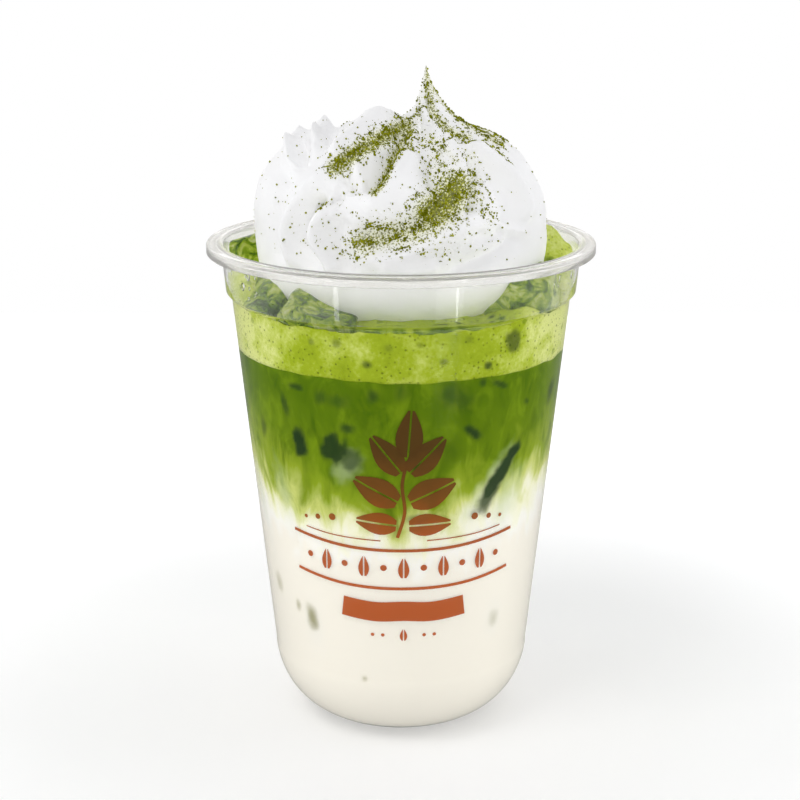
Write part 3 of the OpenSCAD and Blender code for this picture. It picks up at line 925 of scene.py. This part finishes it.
def make_cream():
    bm = bmesh.new()
    bmesh.ops.create_uvsphere(bm, u_segments=400, v_segments=224, radius=1)
    mesh = to_mesh(bm, "cream_dome")
    move_points(mesh, dome(points_of(mesh)))
    points, normals = points_of(mesh), normals_of(mesh)
    rise = np.zeros(len(points))
    for behind in (False, True):
        across, up, facing = seen(points, normals, behind)
        looks = smooth((facing + 0.05) / 0.3)
        shown = looks > 0
        for stroke in STROKES:
            rise[shown] += looks[shown] * stroke_rise(stroke, across[shown], up[shown])
    # the folds are calmer on the back of the dome
    calmed = np.where(rise > 0, 1.7 * np.tanh(rise / 2.1), rise)
    rise += smooth((points[:, 1] + 3) / 9) * (calmed - rise)
    flow = np.stack([points[:, 0], points[:, 1], points[:, 2] * 0.5], 1)
    rise += wobble(points, 9.0, 1.0) * 0.55 + wobble(flow, 3.0, 2.0) * 0.22 + wobble(points, 1.3, 3.0) * 0.05
    tip = smooth((np.hypot(*(points[:, :2] - PEAK).T) - 0.4) / 3.0)
    rise *= np.where(points[:, 2] > CREAM_WAIST, np.maximum(tip, 0.08), 1)
    for crest in SMALL_CRESTS:
        rise *= 0.25 + 0.75 * smooth(np.hypot(*(points[:, :2] - on_circle(crest[1], crest[0])).T) / 5)
    rise *= smooth((points[:, 2] - CREAM_LOW - 1) / 7)
    move_points(mesh, points + normals * rise[:, None])
    points, normals = points_of(mesh), normals_of(mesh)
    density = dust_at(points, normals)
    mark(mesh, "dust", density)
    grains_on = (mesh.copy(), density)
    piece("cream_dome", mesh, cream_finish(), ["whipped_cream"])
    return grains_on


# ======== powder ========

GRAINS = 9900


def powder_finish():
    made = Finish("matcha_powder", **{"Roughness": 0.9, "Specular IOR Level": 0.1})
    made.colour(made.ramp(made.noise(1.5, 2.0), [
        (0.3, (0.125, 0.138, 0.000)), (0.5, (0.240, 0.258, 0.001)), (0.7, (0.420, 0.435, 0.012))]))
    return made.material


def make_powder(mesh, density):
    """Grains on the cream, denser where more powder fell."""
    draw = np.random.default_rng(5)
    mesh.calc_loop_triangles()
    corners = np.empty(len(mesh.loop_triangles) * 3, np.int32)
    mesh.loop_triangles.foreach_get("vertices", corners)
    corners = corners.reshape(-1, 3)
    points, normals = points_of(mesh), normals_of(mesh)
    a, b, c = (points[corners[:, i]] for i in range(3))
    size = np.linalg.norm(np.cross(b - a, c - a), axis=1) / 2
    dense = density[corners].mean(1)
    centres = (a + b + c) / 3
    clots = 0.15 + 2.2 * smooth((wobble(centres, 1.7, 9.0) + 0.6 * wobble(centres, 0.8, 12.0) + 0.1) / 0.7)
    chance = size * dense * clots * smooth((a[:, 2] - CREAM_LOW - 17) / 5)
    picked = draw.choice(len(chance), GRAINS, p=chance / chance.sum())
    mixed = draw.dirichlet((1, 1, 1), GRAINS)
    spots = sum(mixed[:, i:i + 1] * points[corners[picked, i]] for i in range(3))
    outward = normals[corners[picked, 0]]
    seed = bmesh.new()
    bmesh.ops.create_icosphere(seed, subdivisions=1, radius=1)
    grain = to_mesh(seed, "grain")
    heap_bm = bmesh.new()
    radii = 0.10 + 0.21 * draw.random(GRAINS) ** 1.8
    for spot, out, radius in zip(spots, outward, radii):
        turn = Matrix.Rotation(draw.uniform(0, math.tau), 4, Vector(draw.normal(size=3)).normalized())
        stretch = Matrix.Diagonal((*(radius * draw.uniform(0.65, 1.25, 3)), 1))
        moved = grain.copy()
        moved.transform(Matrix.Translation(spot + out * radius * 0.35) @ turn @ stretch)
        heap_bm.from_mesh(moved)
        bpy.data.meshes.remove(moved)
    piece("matcha_powder", to_mesh(heap_bm, "matcha_powder"), powder_finish())
    bpy.data.meshes.remove(grain)
    bpy.data.meshes.remove(mesh)


# ======== print ========

INK_LIFT = 0.04
PRINT_MIDDLE = 271


def print_finish():
    made = Finish("printed_ink", **{"Roughness": 0.45, "Alpha": 0.93, "Specular IOR Level": 0.2})
    over_dark = (made.height() + (made.noise(5, 2.0) - 0.5) * 10 - 46) / 34
    made.colour(made.ramp(over_dark, [
        (0.0, (0.520, 0.095, 0.008)), (0.3, (0.430, 0.085, 0.008)), (0.6, (0.215, 0.070, 0.006)),
        (1.0, (0.105, 0.045, 0.004))]))
    return made.material


def leaf_half(length, width, steps=10):
    """One side of a leaf's outline, from its base to its tip."""
    return [(width * math.sin(math.pi * (i / steps) ** 0.85) * (1 - 0.25 * i / steps), length * i / steps)
            for i in range(steps + 1)]


def add_leaf(bm, x, y, turn, length, width, vein=0.45):
    """A leaf in two halves with a bare vein between them."""
    place = Matrix.Translation((x, y, 0)) @ Matrix.Rotation(math.radians(turn), 4, "Z")
    for side in (-1, 1):
        half = leaf_half(length, width)
        inner = [bm.verts.new(place @ Vector((side * vein / 2, v, 0))) for _, v in half[1:-1]]
        outer = [bm.verts.new(place @ Vector((side * max(u, vein / 2 + 0.05), v, 0))) for u, v in half[1:-1]]
        for (i0, i1), (o0, o1) in zip(zip(inner, inner[1:]), zip(outer, outer[1:])):
            bm.faces.new((i0, o0, o1, i1))


def add_line(bm, path, width):
    """A line of even width along a path."""
    curve = curve_through(path, 8)
    along = np.gradient(curve, axis=0)
    along /= np.hypot(*along.T)[:, None]
    aside = np.stack([-along[:, 1], along[:, 0]], 1) * width / 2
    left = [bm.verts.new((*p, 0)) for p in curve + aside]
    right = [bm.verts.new((*p, 0)) for p in curve - aside]
    for (l0, l1), (r0, r1) in zip(zip(left, left[1:]), zip(right, right[1:])):
        bm.faces.new((r0, r1, l1, l0))


def add_dot(bm, x, y, radius, stretch=1.0, segments=16):
    bmesh.ops.create_circle(bm, cap_ends=True, segments=segments, radius=radius,
                            matrix=Matrix.Translation((x, y, 0)) @ Matrix.Diagonal((stretch, 1, 1, 1)))


def make_print():
    """A plain tea sprig over two lines and a bar, as ink on the outside of the cup."""
    bm = bmesh.new()
    sprig_low = 57.5
    add_line(bm, [(-1.5, sprig_low), (0.2, 64), (-0.4, 71), (0.8, 77)], 0.8)
    for x, y, turn, length, width in (
            (0.8, 76.5, -4, 14.5, 3.6), (0.2, 73, 38, 14, 3.6), (0.4, 73, -44, 14.5, 3.8),
            (-0.2, 66, 62, 14.5, 4.0), (0.2, 66, -66, 14.5, 4.2), (-0.6, 60.5, 84, 12, 3.2),
            (0, 60.5, -88, 12.5, 3.2)):
        add_leaf(bm, x, y, turn, length, width)
    for side in (-1, 1):
        for step, radius in ((17.5, 0.9), (21.5, 0.7), (25, 0.5)):
            add_dot(bm, side * step, 63.5 - 0.04 * step ** 1.35, radius)
        add_line(bm, [(side * 5.5, 56.6), (side * 17, 57), (side * 25, 57.8)], 0.3)
    top_line, low_line = 54.5, 44.5
    for reach, line in ((29, top_line), (28, low_line)):
        path = [(-reach, line + 1.6), (-14, line), (0, line - 0.4), (14, line), (reach, line + 1.6)]
        add_line(bm, path, 0.8)
    for i in range(-5, 6):
        x = i * 4.8
        y = (top_line + low_line) / 2 + 0.002 * x * x
        if i % 2:
            add_dot(bm, x, y, 0.8)
        else:
            add_leaf(bm, x, y - 3.2, 0, 6.4, 1.5, 0.35)
    bar = [(-15, 38.6), (-7, 37.8), (0, 38.1), (7, 37.8), (15, 38.6)]
    add_line(bm, bar, 5.2)
    for x in (-7.5, -5, 5, 7.5):
        add_dot(bm, x, 31.6, 0.45)
    add_leaf(bm, 0, 29.8, 0, 3.8, 1.0, 0.3)
    bmesh.ops.triangulate(bm, faces=bm.faces[:])
    mesh = to_mesh(bm, "cup_print")
    flat = points_of(mesh)
    r = wall_r(flat[:, 1]) + INK_LIFT
    facing = np.radians(PRINT_MIDDLE) + flat[:, 0] / r
    move_points(mesh, np.stack([r * np.cos(facing), r * np.sin(facing), flat[:, 1]], 1))
    piece("cup_print", mesh, print_finish())


# ======== stage ========

def area_light(name, place, aim, size, power, colour=(1, 1, 1), glossy=True):
    data = bpy.data.lights.new(name, "AREA")
    data.shape = "RECTANGLE"
    data.size, data.size_y = size
    data.energy = power
    data.color = colour
    lamp = bpy.data.objects.new(name, data)
    lamp.location = place
    lamp.rotation_euler = (Vector(aim) - Vector(place)).to_track_quat("-Z", "Y").to_euler()
    lamp.visible_camera = False
    lamp.visible_glossy = glossy
    lamp.visible_transmission = False
    bpy.context.scene.collection.objects.link(lamp)


def make_world():
    """White to look at, softly bright to light the drink, and darker where the plastic mirrors it."""
    world = bpy.data.worlds.new("studio")
    bpy.context.scene.world = world
    world.use_nodes = True
    tree = world.node_tree
    tree.nodes.clear()
    path = tree.nodes.new("ShaderNodeLightPath")
    place = tree.nodes.new("ShaderNodeTexCoord")
    split = tree.nodes.new("ShaderNodeSeparateXYZ")
    tree.links.new(place.outputs["Generated"], split.inputs[0])
    behind = tree.nodes.new("ShaderNodeMapRange")
    behind.inputs["From Min"].default_value = -1
    tree.links.new(split.outputs["Y"], behind.inputs["Value"])
    above = tree.nodes.new("ShaderNodeMapRange")
    above.inputs["From Min"].default_value = -0.15
    above.inputs["From Max"].default_value = 0.2
    above.inputs["To Min"].default_value = 0.74
    tree.links.new(split.outputs["Z"], above.inputs["Value"])
    both = tree.nodes.new("ShaderNodeMath")
    both.operation = "MULTIPLY"
    tree.links.new(behind.outputs[0], both.inputs[0])
    tree.links.new(above.outputs[0], both.inputs[1])
    mirrored = tree.nodes.new("ShaderNodeValToRGB")
    Finish.set_stops(mirrored.color_ramp, [
        (0.0, (0.03, 0.03, 0.03)), (0.50, (0.06, 0.06, 0.06)), (0.70, (0.28, 0.28, 0.27)),
        (0.86, (0.98, 0.96, 0.93)), (1.0, (1.1, 1.08, 1.05))])
    tree.links.new(both.outputs[0], mirrored.inputs[0])

    def choose(share, first, second):
        made = tree.nodes.new("ShaderNodeMix")
        made.data_type = "RGBA"
        tree.links.new(path.outputs[share], made.inputs[0])
        for socket, wanted in ((made.inputs[6], first), (made.inputs[7], second)):
            if isinstance(wanted, tuple):
                socket.default_value = (*wanted, 1.0)
            else:
                tree.links.new(wanted, socket)
        return made.outputs[2]

    ambient = (0.47, 0.475, 0.488)
    light = choose("Is Glossy Ray", ambient, mirrored.outputs[0])
    light = choose("Is Transmission Ray", light, (0.96, 0.95, 0.925))
    light = choose("Is Camera Ray", light, (1.0, 1.0, 1.0))
    back = tree.nodes.new("ShaderNodeBackground")
    tree.links.new(light, back.inputs["Color"])
    out = tree.nodes.new("ShaderNodeOutputWorld")
    tree.links.new(back.outputs[0], out.inputs["Surface"])


def make_floor():
    bm = bmesh.new()
    bmesh.ops.create_grid(bm, x_segments=4, y_segments=4, size=0.45)
    mesh = to_mesh(bm, "floor")
    made = Finish("white_floor", **{"Roughness": 0.9, "Specular IOR Level": 0.0})
    made.colour(made.ramp(made.noise(60, 2.0), [(0.3, (0.84, 0.84, 0.84)), (0.7, (0.86, 0.86, 0.86))]))
    spot = made.node("ShaderNodeSeparateXYZ", {}, {0: made.place()}).outputs
    out_x, out_y = Value(made, spot["X"]), Value(made, spot["Y"])
    away = (out_x * out_x + out_y * out_y).between(0, 200 ** 2)
    made.glow(made.mix(away, (0.27, 0.27, 0.27), (0.52, 0.52, 0.52)), 1.0)
    mesh.materials.append(made.material)
    floor = bpy.data.objects.new("floor", mesh)
    bpy.context.scene.collection.objects.link(floor)
    floor.visible_glossy = False


def make_stage():
    make_floor()
    make_world()
    middle = (0, 0, VIEW_AIM * MM)
    area_light("key", (-0.42, -0.40, 0.95), middle, (0.45, 0.45), 2.1, (1.0, 0.99, 0.97), glossy=False)
    area_light("top", (0.1, 0.15, 1.1), middle, (0.7, 0.7), 1.15)
    area_light("left_box", (-0.95, 0.12, 0.16), middle, (0.6, 0.5), 1.9, glossy=False)
    area_light("right_box", (0.95, 0.12, 0.16), middle, (0.6, 0.5), 2.6, glossy=False)
    area_light("front_box", (0.05, -1.0, 0.06), middle, (0.9, 0.12), 1.15, (1.0, 0.985, 0.96), glossy=False)
    area_light("strip_left", (-0.58, -0.66, -0.12), (0, 0, 0.115), (0.05, 0.3), 0.22)
    area_light("strip_right", (0.50, -0.70, -0.12), (0, 0, 0.115), (0.022, 0.3), 0.12)
    area_light("strip_wide", (0.44, -0.74, -0.12), (0, 0, 0.115), (0.26, 0.3), 0.34)
    camera = bpy.data.objects.new("camera", bpy.data.cameras.new("camera"))
    camera.data.lens = LENS
    camera.data.sensor_width = 36
    camera.data.clip_start = 0.01
    back = Vector((0, -math.cos(VIEW_PITCH), math.sin(VIEW_PITCH)))
    camera.location = Vector(middle) + back * VIEW_DISTANCE * MM
    camera.location.x = VIEW_SIDE * MM
    camera.rotation_euler = (-back).to_track_quat("-Z", "Y").to_euler()
    bpy.context.scene.collection.objects.link(camera)
    bpy.context.scene.camera = camera
    bpy.context.scene.view_settings.view_transform = "Standard"


make_stage()
make_cup()
make_drink()
make_foam()
make_ice()
make_droplets()
make_powder(*make_cream())
make_print()
